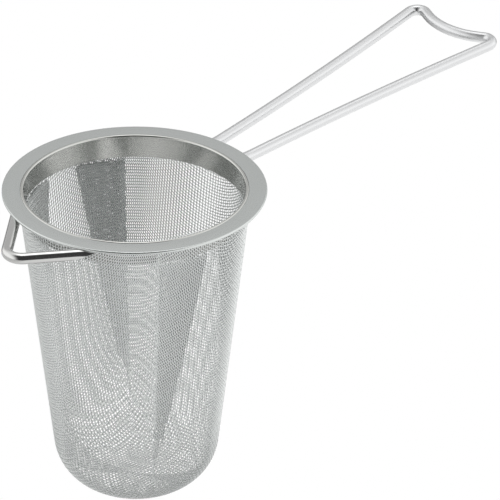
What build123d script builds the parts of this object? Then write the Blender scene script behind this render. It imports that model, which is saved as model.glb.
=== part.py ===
"""Deep tea strainer: a folded wire-mesh basket hung from a flat steel rim.

The frame's origin is on the basket's axis, in the plane of the rim's underside.  The rods that cross under
the rim rest on a cup or a pot.  +Z is up, +X runs along the handle, and the rest loop points along -X.
"""
from build123d import *
import math
import os

# --- Rim: a flat ring with a rounded outer edge -------------------------------------------------------
RIM_OUTER_R = 35.0
RIM_THICKNESS = 0.8
RIM_EDGE_R = 0.36

# --- Collar: a short tube with a rolled bead at its top, which holds the mesh against the rim -----------
MOUTH_R = 29.3
COLLAR_WALL = 0.4
COLLAR_DEPTH = 5.7
BEAD_Z = 0.5

# --- Basket: square-mesh cloth pressed into a tapered cup ---------------------------------------------
MESH_THICKNESS = 0.5
BASKET_DEPTH = 88.5
BASKET_BEND_Z = -7.0
BASKET_BEND_R = 20.0
BASKET_TAPER = 0.1128
BASKET_CORNER_R = 14.0
FOLD_THICKNESS = 0.9
FOLD_APEX_Z = -76.0
FOLD_TOP_GAP = 0.4
# Each fold's root line and how far it spreads at the top, in degrees about Z, anticlockwise positive.
FOLDS = ((52.0, 27.0), (133.0, -35.0), (238.0, 28.0), (312.0, -38.0))

# --- Wires: one rod for the handle, one for the rest loop -------------------------------------------------
WIRE_R = 1.5
WELD_SET = 0.15
HANDLE_START_X = 31.6
HANDLE_BEND_X = 37.0
HANDLE_BEND_R = 36.0
HANDLE_RISE = 4.2
HANDLE_ROOT_Y = 5.95
HANDLE_FLARE_X = 78.0
HANDLE_FLARE_Y = 8.85
HANDLE_FLARE_R = 1100.0
HANDLE_CORNER_X = 127.7
HANDLE_CORNER_Y = 15.7
HANDLE_CORNER_R = 2.7
HANDLE_BAR_X = 119.5
HANDLE_BAR_R = 21.5
REST_APEX_X = -48.0
REST_HALF_ANGLE = 38.2
REST_TURN = 2.0
REST_APEX_R = 4.0
REST_LEG = 25.5
# The ends are ground off from below, so that they thin out under the rim.
REST_END_SLANT = 17.0

# --- Worked out from the above -------------------------------------------------------------------------------
collar_outer_r = MOUTH_R + COLLAR_WALL
basket_top_r = collar_outer_r + MESH_THICKNESS
rim_inner_r = basket_top_r
bead_r = (rim_inner_r - MOUTH_R) / 2
fold_top_z = -COLLAR_DEPTH - FOLD_TOP_GAP
wire_z = WELD_SET - WIRE_R


def basket_r(z, inset=0.0):
    """Radius of the basket's outer face at height z, less an inset towards the axis."""
    below_bend = max(0.0, BASKET_BEND_Z - z)
    return basket_top_r - below_bend * BASKET_TAPER - inset


def basket_outline(inset):
    """Points of the basket's half section, at the given inset from its outer face."""
    floor_z = inset - BASKET_DEPTH
    return [
        (basket_top_r - inset, 0),
        (basket_top_r - inset, BASKET_BEND_Z),
        (basket_r(floor_z, inset), floor_z),
        (0, floor_z),
    ]


def rising(x, y):
    """A point on the handle's line: level up to the bend, and on a steady rise beyond it."""
    beyond_bend = max(0.0, x - HANDLE_BEND_X)
    return (x, y, wire_z + beyond_bend * math.tan(math.radians(HANDLE_RISE)))


# --- Rim ---------------------------------------------------------------------------------------------------------
with BuildPart() as rim_flange:
    with BuildSketch():
        Circle(RIM_OUTER_R)
        Circle(rim_inner_r, mode=Mode.SUBTRACT)
    extrude(amount=RIM_THICKNESS)
    fillet(rim_flange.edges().filter_by(GeomType.CIRCLE).group_by(SortBy.RADIUS)[-1], RIM_EDGE_R)

# --- Collar --------------------------------------------------------------------------------------------------------
with BuildPart() as inner_collar:
    with BuildSketch(Plane.XZ):
        with Locations((MOUTH_R, -COLLAR_DEPTH)):
            Rectangle(COLLAR_WALL, COLLAR_DEPTH + BEAD_Z, align=(Align.MIN, Align.MIN))
        with Locations((MOUTH_R + bead_r, BEAD_Z)):
            Circle(bead_r)
    revolve(axis=Axis.Z)

# --- Mesh basket ---------------------------------------------------------------------------------------------------
# The cloth is one square sheet.  Pressed into a cup, it stands on four corners too many, and each one is
# folded flat against the inside of the wall: two more layers, widest at the collar and gone at the foot.


def flat_fold(root, spread):
    """Two extra layers of cloth on the inside, from the root line to a free edge that meets it at the foot."""
    inner = MESH_THICKNESS + FOLD_THICKNESS
    outer = MESH_THICKNESS / 2
    with BuildPart() as fold:
        with BuildSketch(Plane.XZ.rotated((0, 0, min(root, root + spread)))):
            with BuildLine():
                Polyline(
                    (basket_r(fold_top_z, inner), fold_top_z),
                    (basket_r(fold_top_z, outer), fold_top_z),
                    (basket_r(BASKET_BEND_Z, outer), BASKET_BEND_Z),
                    (basket_r(FOLD_APEX_Z, outer), FOLD_APEX_Z),
                    (basket_r(FOLD_APEX_Z, inner), FOLD_APEX_Z),
                    (basket_r(BASKET_BEND_Z, inner), BASKET_BEND_Z),
                    close=True,
                )
            make_face()
        revolve(axis=Axis.Z, revolution_arc=abs(spread))
        root_out = Vector(1, 0, 0).rotate(Axis.Z, root)
        free_out = Vector(1, 0, 0).rotate(Axis.Z, root + spread)
        foot = root_out * basket_r(FOLD_APEX_Z) + Vector(0, 0, FOLD_APEX_Z)
        free_top = free_out * basket_r(fold_top_z) + Vector(0, 0, fold_top_z)
        to_root = (free_top - foot).cross(root_out + free_out) * math.copysign(1, spread)
        split(bisect_by=Plane(origin=foot, z_dir=to_root), keep=Keep.TOP)
    return fold.part


folds = [flat_fold(root, spread) for root, spread in FOLDS]

with BuildPart() as mesh_basket:
    with BuildSketch(Plane.XZ):
        for inset, mode in ((0.0, Mode.ADD), (MESH_THICKNESS, Mode.SUBTRACT)):
            outline = basket_outline(inset)
            with BuildLine():
                FilletPolyline(*outline, radius=[BASKET_BEND_R, BASKET_CORNER_R - inset])
                Polyline(outline[-1], (0, 0), outline[0])
            make_face(mode=mode)
    revolve(axis=Axis.Z)
    add(folds)

# --- Handle --------------------------------------------------------------------------------------------------------
# One rod: it leaves the rim on one side, flares outwards as it rises, turns a tight corner, dips in an
# inward bow across the end, and comes back the same way.  Its two ends are welded under the rim.
side = [
    rising(HANDLE_START_X, HANDLE_ROOT_Y - 0.36),
    rising(HANDLE_BEND_X, HANDLE_ROOT_Y),
    rising(HANDLE_FLARE_X, HANDLE_FLARE_Y),
    rising(HANDLE_CORNER_X, HANDLE_CORNER_Y),
]
far_side = [(x, -y, z) for x, y, z in reversed(side)]
side_radii = [HANDLE_BEND_R, HANDLE_FLARE_R, HANDLE_CORNER_R]

with BuildPart() as handle_wire:
    with BuildLine() as handle_path:
        FilletPolyline(*side, rising(HANDLE_BAR_X, 0), *far_side,
                       radius=[*side_radii, HANDLE_BAR_R, *reversed(side_radii)])
    with BuildSketch(Plane(origin=handle_path.line @ 0, z_dir=handle_path.line % 0)):
        Circle(WIRE_R)
    sweep()
    Cylinder(RIM_OUTER_R, WIRE_R, align=(Align.CENTER, Align.CENTER, Align.MIN), mode=Mode.SUBTRACT)

# --- Rest loop -----------------------------------------------------------------------------------------------------
# A short V of the same rod, opposite the handle: it lies on the far side of a cup or a pot.
apex = Vector(REST_APEX_X, 0, wire_z)
leg = Vector(REST_LEG, 0, 0)
rest_route = [
    apex + leg.rotate(Axis.Z, REST_HALF_ANGLE),
    apex,
    apex + leg.rotate(Axis.Z, -REST_HALF_ANGLE),
]

with BuildPart() as rest_loop:
    with BuildLine() as rest_path:
        FilletPolyline(*[point.rotate(Axis.Z, REST_TURN) for point in rest_route], radius=REST_APEX_R)
    with BuildSketch(Plane(origin=rest_path.line @ 0, z_dir=rest_path.line % 0)):
        Circle(WIRE_R)
    sweep()
    for end in (rest_route[0], rest_route[-1]):
        outwards = (end - apex).rotate(Axis.Z, REST_TURN).normalized()
        slant = math.radians(REST_END_SLANT)
        off_side = outwards * math.sin(slant) - Vector(0, 0, math.cos(slant))
        above_end = end.rotate(Axis.Z, REST_TURN) + Vector(0, 0, WIRE_R)
        split(bisect_by=Plane(origin=above_end, z_dir=off_side), keep=Keep.BOTTOM)
    Cylinder(RIM_OUTER_R, WIRE_R, align=(Align.CENTER, Align.CENTER, Align.MIN), mode=Mode.SUBTRACT)

# --- Write one file for each piece ---------------------------------------------------------------------------------
os.makedirs("parts", exist_ok=True)
pieces = {
    "rim_flange": rim_flange,
    "inner_collar": inner_collar,
    "mesh_basket": mesh_basket,
    "handle_wire": handle_wire,
    "rest_loop": rest_loop,
}
for name, piece in pieces.items():
    piece.part.label = name
    export_step(piece.part, f"parts/{name}.step")
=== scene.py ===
"""The looks of a deep tea strainer: a woven-wire basket hung from a flat steel rim, with a bent-rod
handle and a V-shaped rest.  Metres throughout, in the CAD model's own frame: Z up, the handle along +X,
and the rim's underside at Z = 0."""
import bmesh
import bpy
import math
import numpy as np
from mathutils import Matrix, Vector


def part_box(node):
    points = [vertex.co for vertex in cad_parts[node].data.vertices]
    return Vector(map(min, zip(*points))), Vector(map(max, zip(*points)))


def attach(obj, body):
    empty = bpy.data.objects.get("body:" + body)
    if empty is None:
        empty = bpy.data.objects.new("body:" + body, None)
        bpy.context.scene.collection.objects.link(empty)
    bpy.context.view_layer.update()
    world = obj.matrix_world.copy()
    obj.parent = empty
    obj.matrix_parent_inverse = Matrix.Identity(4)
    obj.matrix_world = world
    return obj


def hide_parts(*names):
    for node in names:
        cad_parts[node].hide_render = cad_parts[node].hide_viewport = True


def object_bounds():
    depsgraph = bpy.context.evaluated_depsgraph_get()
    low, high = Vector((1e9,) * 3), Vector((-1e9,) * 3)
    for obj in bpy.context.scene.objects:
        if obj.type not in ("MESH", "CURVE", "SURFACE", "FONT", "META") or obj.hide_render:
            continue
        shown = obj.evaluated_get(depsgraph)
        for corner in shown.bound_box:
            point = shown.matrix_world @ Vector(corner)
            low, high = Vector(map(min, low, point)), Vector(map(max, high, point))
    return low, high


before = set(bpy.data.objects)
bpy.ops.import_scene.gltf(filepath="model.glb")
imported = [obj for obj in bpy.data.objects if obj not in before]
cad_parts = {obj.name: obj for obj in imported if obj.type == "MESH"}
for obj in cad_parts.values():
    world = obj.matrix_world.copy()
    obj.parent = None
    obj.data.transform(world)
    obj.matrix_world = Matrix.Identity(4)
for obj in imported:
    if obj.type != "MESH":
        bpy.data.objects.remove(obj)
cad_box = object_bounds()
MM = 0.001

# --------------------------------------------------------------------------------------------------
# Rim.  A flat ring blanked from 0.8 mm stainless sheet, its outer edge rolled round so that it doesn't
# cut.  It rests on the cup, and everything else is fixed to it.  Finished with a fine turning grain.
# --------------------------------------------------------------------------------------------------
RIM_EDGE = 0.36 * MM
RING_STEPS = 256
MERGE = 0.001 * MM
SHARP = math.radians(50)
rim_low, rim_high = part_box("rim_flange")
collar_low, collar_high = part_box("inner_collar")
basket_low, basket_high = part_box("mesh_basket")
rim_inner = basket_high.x


def turned_ring(name, corners, rounds):
    """A closed section in (radius, height), with chosen corners rounded, turned once about Z."""
    bm = bmesh.new()
    section = [bm.verts.new((radius, 0, height)) for radius, height in corners]
    bm.faces.new(section)
    for corner, radius, segments in rounds:
        bmesh.ops.bevel(bm, geom=[section[corner]], offset=radius, offset_type="OFFSET",
                        segments=segments, profile=0.5, affect="VERTICES", material=-1)
    bmesh.ops.delete(bm, geom=bm.faces[:], context="FACES_ONLY")
    bmesh.ops.spin(bm, geom=bm.verts[:] + bm.edges[:], cent=(0, 0, 0), axis=(0, 0, 1),
                   angle=math.tau, steps=RING_STEPS, use_merge=True)
    bmesh.ops.remove_doubles(bm, verts=bm.verts[:], dist=MERGE)
    bmesh.ops.recalc_face_normals(bm, faces=bm.faces[:])
    return finished(name, bm)


def finished(name, bm):
    """Turns a bmesh into an object, smooth but for its sharp edges."""
    mesh = bpy.data.meshes.new(name)
    bm.to_mesh(mesh)
    bm.free()
    mesh.shade_smooth()
    mesh.set_sharp_from_angle(angle=SHARP)
    piece = bpy.data.objects.new(name, mesh)
    bpy.context.scene.collection.objects.link(piece)
    return piece


def node_group(name, inputs, outputs):
    """An empty shader node group with these float inputs and named outputs."""
    group = bpy.data.node_groups.new(name, "ShaderNodeTree")
    for label, default in inputs:
        socket = group.interface.new_socket(label, in_out="INPUT", socket_type="NodeSocketFloat")
        socket.default_value = default
    for label in outputs:
        group.interface.new_socket(label, in_out="OUTPUT", socket_type="NodeSocketFloat")
    return group, group.nodes.new("NodeGroupInput"), group.nodes.new("NodeGroupOutput")


def math_node(tree, operation, first, second=None, third=None):
    """A Math node whose inputs are sockets or plain numbers; returns its output."""
    node = tree.nodes.new("ShaderNodeMath")
    node.operation = operation
    for socket, value in zip(node.inputs, (first, second, third)):
        if isinstance(value, bpy.types.NodeSocket):
            tree.links.new(value, socket)
        elif value is not None:
            socket.default_value = value
    return node.outputs[0]


def noise_node(tree, vector, scale, detail=2.0, roughness=0.5):
    """A noise texture read at a vector socket; returns its value, from 0 to 1."""
    node = tree.nodes.new("ShaderNodeTexNoise")
    node.inputs["Scale"].default_value = scale
    node.inputs["Detail"].default_value = detail
    node.inputs["Roughness"].default_value = roughness
    tree.links.new(vector, node.inputs["Vector"])
    return node.outputs["Fac"]


def turning_grain():
    """Fine rings about Z, as a lathe or a turning brush leaves, broken up along their length.

    Fineness is in rings to the metre; Cloud is a soft blotch of about 10 mm.
    """
    group, entry, out = node_group("turning_grain", [("Fineness", 9000.0)], ["Grain", "Cloud"])
    here = group.nodes.new("ShaderNodeTexCoord").outputs["Object"]
    parts = group.nodes.new("ShaderNodeSeparateXYZ")
    group.links.new(here, parts.inputs[0])
    x, y, z = parts.outputs
    y_squared = math_node(group, "MULTIPLY", y, y)
    radius = math_node(group, "SQRT", math_node(group, "MULTIPLY_ADD", x, x, y_squared))
    ring = math_node(group, "MULTIPLY", math_node(group, "ADD", radius, z), entry.outputs["Fineness"])
    turn = math_node(group, "ARCTAN2", y, x)
    place = group.nodes.new("ShaderNodeCombineXYZ")
    group.links.new(ring, place.inputs[0])
    group.links.new(math_node(group, "SINE", turn), place.inputs[1])
    group.links.new(math_node(group, "COSINE", turn), place.inputs[2])
    grain = noise_node(group, place.outputs[0], 1.0, detail=4.0, roughness=0.65)
    group.links.new(grain, out.inputs["Grain"])
    group.links.new(noise_node(group, here, 90.0, detail=3.0), out.inputs["Cloud"])
    return group


def steel(name, colour, roughness, group, depth, spread, cloud_share=0.25):
    """Bare stainless steel: a metal whose roughness and height follow a grain group.

    Depth is the height of the grain, spread the width of the range of roughness about its middle, and
    cloud_share how much of that range follows the blotches rather than the grain.
    """
    material = bpy.data.materials.new(name)
    material.use_nodes = True
    tree = material.node_tree
    shader = tree.nodes["Principled BSDF"]
    shader.inputs["Metallic"].default_value = 1.0
    shader.inputs["Base Color"].default_value = (*colour, 1)
    grain = tree.nodes.new("ShaderNodeGroup")
    grain.node_tree = group
    mixed = math_node(tree, "MULTIPLY_ADD", grain.outputs["Cloud"], cloud_share,
                      math_node(tree, "MULTIPLY", grain.outputs["Grain"], 1 - cloud_share))
    rough = math_node(tree, "MULTIPLY_ADD", mixed, spread, roughness - spread / 2)
    tree.links.new(rough, shader.inputs["Roughness"])
    bump = tree.nodes.new("ShaderNodeBump")
    bump.inputs["Distance"].default_value = depth
    bump.inputs["Strength"].default_value = 1.0
    tree.links.new(grain.outputs["Grain"], bump.inputs["Height"])
    tree.links.new(bump.outputs["Normal"], shader.inputs["Normal"])
    return material


rim_steel = steel("rim_satin_steel", colour=(0.600, 0.622, 0.610), roughness=0.25,
                  group=turning_grain(), depth=0.0008 * MM, spread=0.12)

rim = turned_ring(
    "rim_ring",
    [(rim_inner, rim_low.z), (rim_high.x, rim_low.z), (rim_high.x, rim_high.z), (rim_inner, rim_high.z)],
    [(1, RIM_EDGE, 6), (2, RIM_EDGE, 8)],
)
rim.data.materials.append(rim_steel)
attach(rim, "root")
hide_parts("rim_flange")

# --------------------------------------------------------------------------------------------------
# Collar.  A short stainless tube pressed up through the rim's hole.  Its top is rolled over into a bead,
# which holds it there, and the cloth's edge is trapped between the tube and the rim.
# --------------------------------------------------------------------------------------------------
COLLAR_WALL = 0.28 * MM
BEAD_HEIGHT = 0.9 * MM
BEAD_ROUND = 0.42 * MM
BEAD_HOLLOW = 0.3 * MM
COLLAR_EDGE = 0.1 * MM
COLLAR_SET_IN = 0.5 * MM
bead_inner = rim_inner - BEAD_HEIGHT
bead_foot = collar_high.z - BEAD_HEIGHT
wall_outer = rim_inner - COLLAR_SET_IN
wall_inner = wall_outer - COLLAR_WALL

collar = turned_ring(
    "collar_tube",
    [(wall_inner, collar_low.z), (wall_outer, collar_low.z), (wall_outer, bead_foot),
     (rim_inner, bead_foot), (rim_inner, collar_high.z), (bead_inner, collar_high.z),
     (bead_inner, bead_foot), (wall_inner, bead_foot)],
    [(0, COLLAR_EDGE, 3), (1, COLLAR_EDGE, 3), (4, BEAD_ROUND, 8), (5, BEAD_ROUND, 8), (6, BEAD_HOLLOW, 5)],
)
collar_steel = steel("collar_satin_steel", colour=(0.60, 0.605, 0.58), roughness=0.19,
                     group=bpy.data.node_groups["turning_grain"], depth=0.0003 * MM, spread=0.06)
collar.data.materials.append(collar_steel)
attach(collar, "root")
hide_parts("inner_collar")

# --------------------------------------------------------------------------------------------------
# Basket.  One sheet of plain-woven cloth, 0.26 mm stainless wire, pressed into a tapered cup.  Its wires
# run roughly with and across the handle.  Pressing leaves cloth over at the four corners, and each
# corner is folded flat inside the wall, three layers thick.
# --------------------------------------------------------------------------------------------------
CLOTH_WIRE_R = 0.13 * MM
CLOTH_HALF = 0.27 * MM
TAPER = math.atan(0.1128)
BEND_Z = -7.0 * MM
CORNER_R = 14.0 * MM
# The folds: the distance between layers, the width over which the innermost layer rises from the wall,
# where the folds come to a point, and the heights at which their inner layers stop.
FOLD_LAYER = 0.46 * MM
FOLD_STEP = 1.0 * MM
FOLD_APEX_Z = -76.0 * MM
FOLD_TOP_Z = collar_low.z
FOLD_FOOT_Z = -64.0 * MM
TOP_GAP = 0.15 * MM
# The steepest that a wire across a strip climbs, rise over run.
STEEPEST = 1.5
# Out to SEAM_START a wire along a strip starts on the seam between two strips, and out to SEAM_END a wire
# across a strip ends on it.  The flat weave gives way to the wall's over WEAVE_TURNS.  The strips are
# evened out at the seams up to EVENED_TO, and cloth passes a seam by SEAM_SLACK of a pitch.
FOOT_REACH = 22 * MM
SEAM_SAMPLES = 80
SEAM_START = 18 * MM
SEAM_END = 20 * MM
WEAVE_TURNS = (8 * MM, 30 * MM)
EVENED_TO = (26 * MM, 50 * MM)
SEAM_SLACK = 0.5
# How far the cloth reaches from the foot's centre, and from a strip's middle with and without a fold.
TALL = 106 * MM
WIDE_FOLDED = 112 * MM
WIDE_PLAIN = 46 * MM
# The cloth climbs the wall in four strips.  For each: the direction of its middle in degrees, the
# distance between crossings along it and across it, and how soon the wires across it start to climb.
STRIPS = [(1.0, 0.85 * MM, 0.98 * MM, 18.0 * MM), (103.0, 0.98 * MM, 0.85 * MM, 14.0 * MM),
          (181.0, 0.85 * MM, 0.98 * MM, 18.0 * MM), (286.0, 0.98 * MM, 0.85 * MM, 17.0 * MM)]
# The fold between each strip and the next: the direction of its root line, and its spread at the top.
FOLDS = [(52.0, 27.0), (133.0, -35.0), (238.0, 28.0), (312.0, -38.0)]

top_r = basket_high.x
foot_z = basket_low.z
corner_z = foot_z + CORNER_R
corner_x = top_r - (BEND_Z - corner_z) * math.tan(TAPER) - CORNER_R / math.cos(TAPER)
mid_corner_r = CORNER_R - CLOTH_HALF
arc_sweep = math.pi / 2 - TAPER
wall_base_s = corner_x + mid_corner_r * arc_sweep
wall_base_r = corner_x + mid_corner_r * math.cos(TAPER)
wall_base_z = corner_z - mid_corner_r * math.sin(TAPER)
wall_length = (BEND_Z - wall_base_z) / math.cos(TAPER)
cone_rho = wall_base_r / math.sin(TAPER)


def smooth_share(value, low, high):
    """0 at low, 1 at high, smooth between."""
    share = np.clip((value - low) / (high - low), 0, 1)
    return share * share * (3 - 2 * share)


def section_at(s):
    """Radius, height and the inward normal of the cloth's middle, s along a meridian from the centre."""
    arc = np.clip((s - corner_x) / mid_corner_r, 0, arc_sweep)
    lean = np.where(s > wall_base_s + wall_length, math.pi / 2, arc)
    on_wall = np.clip(s - wall_base_s, 0, wall_length)
    above = np.maximum(s - wall_base_s - wall_length, 0)
    radius = np.minimum(s, corner_x) + mid_corner_r * np.sin(arc) + on_wall * math.sin(TAPER)
    height = foot_z + CLOTH_HALF + mid_corner_r * (1 - np.cos(arc)) + on_wall * math.cos(TAPER) + above
    return radius, height, -np.sin(lean), np.cos(lean)


def s_at(z):
    """Distance along a meridian, on the wall, of height z."""
    return wall_base_s + (z - wall_base_z) / math.cos(TAPER)


def pressed(u, v, crossing, reach):
    """Where the press puts the cloth's point u along its strip and v across it, before folding.

    Returns the angle and s.  The foot keeps the flat cloth's own weave, whose wires meet at the angle
    `crossing`.  On the wall the wires along the strip run straight up, and those across it climb away
    from the strip's middle, more steeply the further they go.
    """
    free = np.minimum(v, STEEPEST * reach)
    rest_of_it = (v - free) / math.hypot(1, STEEPEST)
    across = reach * np.arcsinh(free / reach) + rest_of_it
    climb = np.hypot(reach, free) - reach + rest_of_it * STEEPEST
    along = cone_rho + (u - wall_base_s) + climb
    wall_angle = np.arctan2(across, along) / math.sin(TAPER)
    wall_s = wall_base_s + np.hypot(across, along) - cone_rho
    flat_x = u + v * math.cos(crossing)
    flat_y = v * math.sin(crossing)
    share = smooth_share(u, *WEAVE_TURNS)
    angle = (1 - share) * np.arctan2(flat_y, flat_x) + share * wall_angle
    return angle, (1 - share) * np.hypot(flat_x, flat_y) + share * wall_s


def strip_point(u, v, half, crossing, reach):
    """pressed(), evened out in the foot so that neighbours meet on the root line between them."""
    angle, s = pressed(u, v, crossing, reach)
    diagonal = np.linspace(0.01 * MM, FOOT_REACH, SEAM_SAMPLES)
    diagonal_angle, diagonal_s = pressed(diagonal, diagonal, crossing, reach)
    even = half / np.interp(s, diagonal_s, diagonal_angle)
    return angle * (even + (1 - even) * smooth_share(s, *EVENED_TO)), s


def fold_over(angle, s, spread):
    """Folds what lies beyond a root line.

    Returns the angle past the root, s, how many layers inwards it lies, and whether it still shows.
    """
    rho = cone_rho + s - wall_base_s
    turn = angle * math.sin(TAPER)
    point = np.stack([rho * np.sin(turn), rho * np.cos(turn)])
    apex = np.array([0, cone_rho + s_at(FOLD_APEX_Z) - wall_base_s])
    top_rho = cone_rho + s_at(FOLD_TOP_Z) - wall_base_s
    top_turn = spread * math.sin(TAPER)
    top = np.array([top_rho * math.sin(top_turn), top_rho * math.cos(top_turn)])
    edge = (top - apex) / np.linalg.norm(top - apex)
    out = np.array([edge[1], -edge[0]])
    past = (point[0] - apex[0]) * out[0] + (point[1] - apex[1]) * out[1]
    turned_back = np.logical_and(past > 0, s > s_at(FOLD_APEX_Z))
    point = point - np.where(turned_back, 2 * past, 0) * out[:, None]
    angle = np.arctan2(point[0], point[1]) / math.sin(TAPER)
    s = wall_base_s + np.hypot(point[0], point[1]) - cone_rho
    step = np.clip(angle * wall_base_r / FOLD_STEP, 0, 1)
    layers = np.where(turned_back, 1.0, np.where(angle > 0, 2.0 * step, 0.0))
    return angle, s, layers, np.logical_or(~turned_back, angle > 0)


def cloth_wire(u, v, crimp, strip, side, half, spread):
    """The line of one wire through the cloth's points (u, v), and where it shows."""
    middle, pitch_along, pitch_across, reach, crossing = strip
    angle, s = strip_point(u, v, half, crossing, reach)
    past_root = angle - half
    layers = np.zeros_like(s)
    slack = SEAM_SLACK * pitch_across / wall_base_r
    if spread:
        past_root, s, layers, shows = fold_over(past_root, s, spread)
        shows &= np.logical_or(past_root <= slack, s > s_at(FOLD_APEX_Z))
    else:
        shows = past_root <= slack
    radius, height, normal_r, normal_z = section_at(s)
    rows = u / pitch_along + v / pitch_across
    inward = layers * FOLD_LAYER + crimp * CLOTH_WIRE_R * np.cos(math.pi * rows)
    radius = radius + inward * normal_r
    height = height + inward * normal_z
    shows &= height < np.where(layers > 0.5, FOLD_TOP_Z - TOP_GAP, -TOP_GAP)
    shows &= np.logical_or(layers < 0.5, height > FOLD_FOOT_Z)
    theta = middle + side * (half + past_root)
    return np.stack([radius * np.cos(theta), radius * np.sin(theta), height], axis=1), shows


def add_wire(curve, points, shows):
    """Adds what shows of a wire to a curve, as one spline."""
    run = points[shows]
    if len(run) < 2:
        return
    spline = curve.splines.new("POLY")
    spline.points.add(len(run) - 1)
    spline.points.foreach_set("co", np.column_stack([run, np.ones(len(run))]).ravel())


def woven_strip(name, strip, side, half, spread, crimp):
    """Half a strip of cloth: its wires along the strip, then those across it, woven over and under."""
    curve = bpy.data.curves.new(name, "CURVE")
    curve.dimensions = "3D"
    curve.bevel_depth = CLOTH_WIRE_R
    curve.bevel_resolution = 1
    curve.use_fill_caps = True
    pitch_along, pitch_across = strip[1:3]
    wide = WIDE_FOLDED if spread else WIDE_PLAIN
    for v in np.arange(0 if side > 0 else pitch_across, wide, pitch_across):
        start = min(v, SEAM_START)
        u = np.arange(math.floor(start / pitch_along + 1) * pitch_along, TALL, pitch_along)
        u = np.append(start, u) if v == start else u
        add_wire(curve, *cloth_wire(u, np.full(len(u), v), crimp, strip, side, half, spread))
    for u in np.arange(pitch_along, TALL, pitch_along):
        v = np.arange(0, u if u < SEAM_END else wide, pitch_across)
        v = np.append(v, u) if u < SEAM_END else v
        add_wire(curve, *cloth_wire(np.full(len(v), u), v, -crimp, strip, side, half, spread))
    draft = bpy.data.objects.new(name + "_draft", curve)
    mesh = bpy.data.meshes.new_from_object(draft)
    bpy.data.objects.remove(draft)
    mesh.name = name
    mesh.shade_smooth()
    piece = bpy.data.objects.new(name, mesh)
    bpy.context.scene.collection.objects.link(piece)
    return piece


def drawn_wire_grain():
    """The streaks of drawn wire, drawn out along X, and its dull spots, read in space."""
    group, entry, out = node_group("drawn_grain", [("Fineness", 900.0)], ["Grain", "Cloud"])
    here = group.nodes.new("ShaderNodeTexCoord").outputs["Object"]
    spread = group.nodes.new("ShaderNodeVectorMath")
    spread.operation = "MULTIPLY"
    group.links.new(here, spread.inputs[0])
    spread.inputs[1].default_value = (0.06, 1.0, 1.0)
    node = group.nodes.new("ShaderNodeTexNoise")
    node.inputs["Detail"].default_value = 3.0
    group.links.new(spread.outputs[0], node.inputs["Vector"])
    group.links.new(entry.outputs["Fineness"], node.inputs["Scale"])
    group.links.new(node.outputs["Fac"], out.inputs["Grain"])
    group.links.new(noise_node(group, here, 160.0, detail=2.0), out.inputs["Cloud"])
    return group


cloth_steel = steel("cloth_wire_steel", colour=(0.705, 0.722, 0.715), roughness=0.22,
                    group=drawn_wire_grain(), depth=0.002 * MM, spread=0.14, cloud_share=0.6)
for number, (middle, pitch_along, pitch_across, reach) in enumerate(STRIPS):
    carries_folds = number % 2 == 0
    halves = [(1, FOLDS[number], STRIPS[(number + 1) % 4]), (-1, FOLDS[number - 1], STRIPS[number - 1])]
    for side, fold, neighbour in halves:
        half = math.radians(side * (fold[0] - middle) % 360)
        crossing = math.radians(side * (neighbour[0] - middle) % 360)
        strip = (math.radians(middle), pitch_along, pitch_across, reach, crossing)
        spread = math.radians(abs(fold[1])) if carries_folds else 0
        label = f"basket_cloth_{number + 1}_{'left' if side > 0 else 'right'}"
        cloth = woven_strip(label, strip, side, half, spread, 1 if carries_folds else -1)
        cloth.data.materials.append(cloth_steel)
        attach(cloth, "root")
        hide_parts("mesh_basket")

# --------------------------------------------------------------------------------------------------
# Handle.  One 3 mm stainless rod, bent cold.  It leaves the rim on one side, flares as it rises, turns a
# tight corner, bows inwards across the end and comes back.  Both ends are welded under the rim.
# --------------------------------------------------------------------------------------------------
ROD_R = 1.5 * MM
ROD_SIDES = 28
BEND_STEP = math.radians(6)
BEND_LENGTH = 4 * MM
RUN_LENGTH = 6 * MM
WELD_SET = 0.15 * MM
HANDLE_RISE = math.radians(4.2)
# Where the rod turns, in millimetres along the handle and out from its middle line: the welded end, the
# bend at the rim, the flare and the corner.  The bar's middle is bowed in to HANDLE_BAR_X.
HANDLE_END = (31.6, 5.59)
HANDLE_BEND = (37.0, 5.95)
HANDLE_FLARE = (78.0, 8.85)
HANDLE_CORNER = (127.7, 15.7)
HANDLE_BAR_X = 119.5
HANDLE_RADII = [36 * MM, 1100 * MM, 2.7 * MM]
HANDLE_BAR_R = 21.5 * MM
rod_z = rim_low.z + WELD_SET - ROD_R


def bent_rod(name, route, radii):
    """A rod along a route of straight runs, each corner bent to its own radius."""
    bm = bmesh.new()
    heading = (route[1] - route[0]).normalized()
    stand = Matrix.Translation(route[0]) @ heading.to_track_quat("Z", "Y").to_matrix().to_4x4()
    bmesh.ops.create_circle(bm, segments=ROD_SIDES, radius=ROD_R, matrix=stand, cap_ends=True)
    edges = bm.edges[:]
    here = route[0]
    for corner, after, radius in zip(route[1:-1], route[2:], radii):
        onward = (after - corner).normalized()
        turn = heading.angle(onward)
        reach = radius * math.tan(turn / 2)
        edges = drawn_on(bm, edges, corner - heading * reach - here)
        here = corner - heading * reach
        axis = heading.cross(onward).normalized()
        centre = here + axis.cross(heading) * radius
        steps = max(6, int(turn / BEND_STEP), int(turn * radius / BEND_LENGTH))
        swept = bmesh.ops.spin(bm, geom=edges, cent=centre, axis=axis, angle=turn, steps=steps)
        edges = [item for item in swept["geom_last"] if isinstance(item, bmesh.types.BMEdge)]
        here = corner + onward * reach
        heading = onward
    edges = drawn_on(bm, edges, route[-1] - here)
    bmesh.ops.contextual_create(bm, geom=edges)
    bmesh.ops.remove_doubles(bm, verts=bm.verts[:], dist=MERGE)
    bmesh.ops.recalc_face_normals(bm, faces=bm.faces[:])
    return finished(name, bm)


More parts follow.
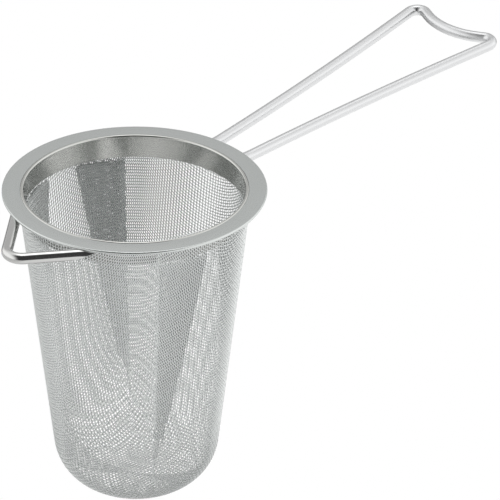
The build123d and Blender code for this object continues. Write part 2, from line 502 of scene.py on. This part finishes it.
def drawn_on(bm, edges, step):
    """Carries an open end straight on, in short lengths; returns the new end's edges."""
    lengths = max(1, round(step.length / RUN_LENGTH))
    for _ in range(lengths):
        made = bmesh.ops.extrude_edge_only(bm, edges=edges)["geom"]
        verts = [item for item in made if isinstance(item, bmesh.types.BMVert)]
        edges = [item for item in made if isinstance(item, bmesh.types.BMEdge)]
        bmesh.ops.translate(bm, verts=verts, vec=step / lengths)
    return edges


def on_handle(x, y):
    """A point of the handle's line, in millimetres: level under the rim, then on a steady rise."""
    rise = max(0.0, x - HANDLE_BEND[0]) * MM * math.tan(HANDLE_RISE)
    return Vector((x * MM, y * MM, rod_z + rise))


handle_side = [on_handle(*place) for place in (HANDLE_END, HANDLE_BEND, HANDLE_FLARE, HANDLE_CORNER)]
handle_far = [Vector((point.x, -point.y, point.z)) for point in reversed(handle_side)]
handle = bent_rod("handle_rod", handle_side + [on_handle(HANDLE_BAR_X, 0)] + handle_far,
                  HANDLE_RADII + [HANDLE_BAR_R] + HANDLE_RADII[::-1])
rod_steel = steel("rod_satin_steel", colour=(0.66, 0.665, 0.67), roughness=0.32,
                  group=bpy.data.node_groups["drawn_grain"], depth=0.0002 * MM, spread=0.12,
                  cloud_share=0.5)
handle.data.materials.append(rod_steel)
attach(handle, "root")
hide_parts("handle_wire")

# --------------------------------------------------------------------------------------------------
# Rest loop.  A short V of the same rod, polished, welded under the rim opposite the handle.  It lies on
# the far side of the cup, and its ends are ground off from below so that they thin out under the rim.
# --------------------------------------------------------------------------------------------------
REST_APEX_X = -48.0 * MM
REST_LEG = 25.5 * MM
REST_HALF_ANGLE = math.radians(38.2)
REST_TURN = math.radians(2.0)
REST_APEX_R = 4.0 * MM
REST_END_SLANT = math.radians(17.0)
REST_SHARP = math.radians(40)

apex = Matrix.Rotation(REST_TURN, 3, "Z") @ Vector((REST_APEX_X, 0, rod_z))
headings = [Matrix.Rotation(REST_TURN + swing, 3, "Z") @ Vector((1, 0, 0))
            for swing in (REST_HALF_ANGLE, -REST_HALF_ANGLE)]
rest_ends = [apex + heading * REST_LEG for heading in headings]
rest = bent_rod("rest_rod", [rest_ends[0], apex, rest_ends[1]], [REST_APEX_R])
bm = bmesh.new()
bm.from_mesh(rest.data)
for end, heading in zip(rest_ends, headings):
    off_side = heading * math.sin(REST_END_SLANT) - Vector((0, 0, math.cos(REST_END_SLANT)))
    whole = bm.verts[:] + bm.edges[:] + bm.faces[:]
    ground = bmesh.ops.bisect_plane(bm, geom=whole, dist=MERGE, plane_co=end + Vector((0, 0, ROD_R)),
                                    plane_no=off_side, clear_outer=True)
    edge_of_cut = [item for item in ground["geom_cut"] if isinstance(item, bmesh.types.BMEdge)]
    bmesh.ops.contextual_create(bm, geom=edge_of_cut)
bmesh.ops.recalc_face_normals(bm, faces=bm.faces[:])
bm.to_mesh(rest.data)
bm.free()
rest.data.set_sharp_from_angle(angle=REST_SHARP)
polished_steel = steel("rod_polished_steel", colour=(0.60, 0.60, 0.59), roughness=0.17,
                       group=bpy.data.node_groups["drawn_grain"], depth=0.0006 * MM, spread=0.08,
                       cloud_share=0.4)
rest.data.materials.append(polished_steel)
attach(rest, "root")
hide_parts("rest_loop")

# --------------------------------------------------------------------------------------------------
# Studio.  A pale table under a white tent, with a lamp overhead, a dark room on the camera's side, and a
# long lens a good metre away.  The camera itself sees both table and tent as plain white.  The table is
# no lamp but glows, and in reflections its glow is painted light and shade: brighter to the right, painted
# shade right under the cup, and dark in front and behind.
# --------------------------------------------------------------------------------------------------
CAMERA_AT = Vector((-0.67172, -0.70165, 0.52813))
LOOKS_AT = Vector((0.01590, -0.02718, -0.01343))
CAMERA_ROLL = math.radians(0.46)
SENSOR_WIDTH = 36
LENS = 301.84
CLIP_END = 10
# Brightness of the tent by direction: low at the back, high up, the lamp, the camera's side, the left,
# the right and the far right.
TENT_BACK = 0.62
TENT_TOP = 1.0
LAMP = 2.6
CAMERA_SIDE = 0.05
TENT_LEFT = 1.35
TENT_RIGHT = 1.14
FAR_RIGHT = 1.42
# Glow of the table by place, painted light and shade: left, right, right under the cup (painted shade), in
# front and behind.
TABLE_LEFT = 0.75
TABLE_RIGHT = 1.15
TABLE_UNDER_SHADE = 0.62
TABLE_FRONT = 0.06
TABLE_BEHIND = 0.30
TABLE_HALF = 4.0
TABLE_GAP = 0.2 * MM
towards_camera = Vector((CAMERA_AT.x, CAMERA_AT.y, 0)).normalized()
to_the_right = Vector((-towards_camera.y, towards_camera.x, 0))

camera_data = bpy.data.cameras.new("camera")
camera_data.sensor_width = SENSOR_WIDTH
camera_data.lens = LENS
camera_data.clip_end = CLIP_END
camera = bpy.data.objects.new("camera", camera_data)
camera.location = CAMERA_AT
camera.rotation_mode = "QUATERNION"
looking = (CAMERA_AT - LOOKS_AT).to_track_quat("Z", "Y")
camera.rotation_quaternion = looking @ Matrix.Rotation(CAMERA_ROLL, 3, "Z").to_quaternion()
bpy.context.scene.collection.objects.link(camera)
bpy.context.scene.camera = camera


def towards(tree, vector, direction):
    """How far a vector socket points along a direction."""
    node = tree.nodes.new("ShaderNodeVectorMath")
    node.operation = "DOT_PRODUCT"
    tree.links.new(vector, node.inputs[0])
    node.inputs[1].default_value = direction
    return node.outputs["Value"]


def ramp(tree, value, low, high):
    """0 at low, 1 at high, smooth between."""
    node = tree.nodes.new("ShaderNodeMapRange")
    node.interpolation_type = "SMOOTHSTEP"
    tree.links.new(value, node.inputs["Value"])
    node.inputs["From Min"].default_value = low
    node.inputs["From Max"].default_value = high
    return node.outputs["Result"]


def blended(tree, share, first, second):
    """first where share is 0, second where it is 1."""
    node = tree.nodes.new("ShaderNodeMix")
    node.data_type = "FLOAT"
    for socket, value in zip((node.inputs[0], node.inputs[2], node.inputs[3]), (share, first, second)):
        if isinstance(value, bpy.types.NodeSocket):
            tree.links.new(value, socket)
        else:
            socket.default_value = value
    return node.outputs[0]


world = bpy.data.worlds.new("studio")
bpy.context.scene.world = world
world.use_nodes = True
sky = world.node_tree
direction = sky.nodes.new("ShaderNodeTexCoord").outputs["Generated"]
height = towards(sky, direction, (0, 0, 1))
frontal = towards(sky, direction, towards_camera)
sideways = towards(sky, direction, to_the_right)
tent = blended(sky, ramp(sky, height, 0.50, 0.80), TENT_BACK, TENT_TOP)
off_middle = math_node(sky, "ABSOLUTE", sideways)
lamp = math_node(sky, "MULTIPLY", ramp(sky, height, 0.74, 0.88), ramp(sky, off_middle, 0.26, 0.08))
overhead = blended(sky, lamp, tent, LAMP)
front = blended(sky, ramp(sky, frontal, -0.25, 0.20), overhead, CAMERA_SIDE)
left = blended(sky, ramp(sky, sideways, -0.35, -0.80), front, TENT_LEFT)
right = blended(sky, ramp(sky, sideways, 0.28, 0.62), left, TENT_RIGHT)
far_right = blended(sky, ramp(sky, sideways, 0.70, 0.95), right, FAR_RIGHT)
seen = blended(sky, sky.nodes.new("ShaderNodeLightPath").outputs["Is Camera Ray"], far_right, 1.0)
sky.links.new(seen, sky.nodes["Background"].inputs["Strength"])
sky.nodes["Background"].inputs["Color"].default_value = (1, 1, 1, 1)

bm = bmesh.new()
bmesh.ops.create_grid(bm, x_segments=1, y_segments=1, size=TABLE_HALF)
bmesh.ops.translate(bm, verts=bm.verts[:], vec=(0, 0, cad_box[0].z - TABLE_GAP))
floor = finished("floor", bm)
floor_paint = bpy.data.materials.new("table_glow_painted_light")
floor_paint.use_nodes = True
paint = floor_paint.node_tree
paint.nodes.remove(paint.nodes["Principled BSDF"])
# The table glows though it is no lamp: its glow, seen only in reflections, is painted light and shade by
# place.
glow = paint.nodes.new("ShaderNodeEmission")
place = paint.nodes.new("ShaderNodeTexCoord").outputs["Object"]
along = towards(paint, place, towards_camera)
aside = towards(paint, place, to_the_right)
off_line = math_node(paint, "ABSOLUTE", aside)
ahead = math_node(paint, "MULTIPLY_ADD", off_line, -0.9, along)
behind = math_node(paint, "MULTIPLY_ADD", off_line, 0.6, along)
on_table = paint.nodes.new("ShaderNodeVectorMath")
on_table.operation = "MULTIPLY"
paint.links.new(place, on_table.inputs[0])
on_table.inputs[1].default_value = (1, 1, 0)
away = paint.nodes.new("ShaderNodeVectorMath")
away.operation = "LENGTH"
paint.links.new(on_table.outputs[0], away.inputs[0])
near = blended(paint, ramp(paint, aside, -0.15, 0.10), TABLE_LEFT, TABLE_RIGHT)
# Painted shade: the table's glow is dimmed right under the cup, where the cup's shadow would fall.
shaded = blended(paint, ramp(paint, away.outputs["Value"], 0.020, 0.070), TABLE_UNDER_SHADE, near)
front_floor = blended(paint, ramp(paint, ahead, 0.30, 0.60), shaded, TABLE_FRONT)
lit = blended(paint, ramp(paint, behind, -0.06, -0.20), front_floor, TABLE_BEHIND)
seen = blended(paint, paint.nodes.new("ShaderNodeLightPath").outputs["Is Camera Ray"], lit, 1.0)
paint.links.new(seen, glow.inputs["Strength"])
paint.links.new(glow.outputs[0], paint.nodes["Material Output"].inputs["Surface"])
floor.data.materials.append(floor_paint)

bpy.context.scene.view_settings.view_transform = "Standard"
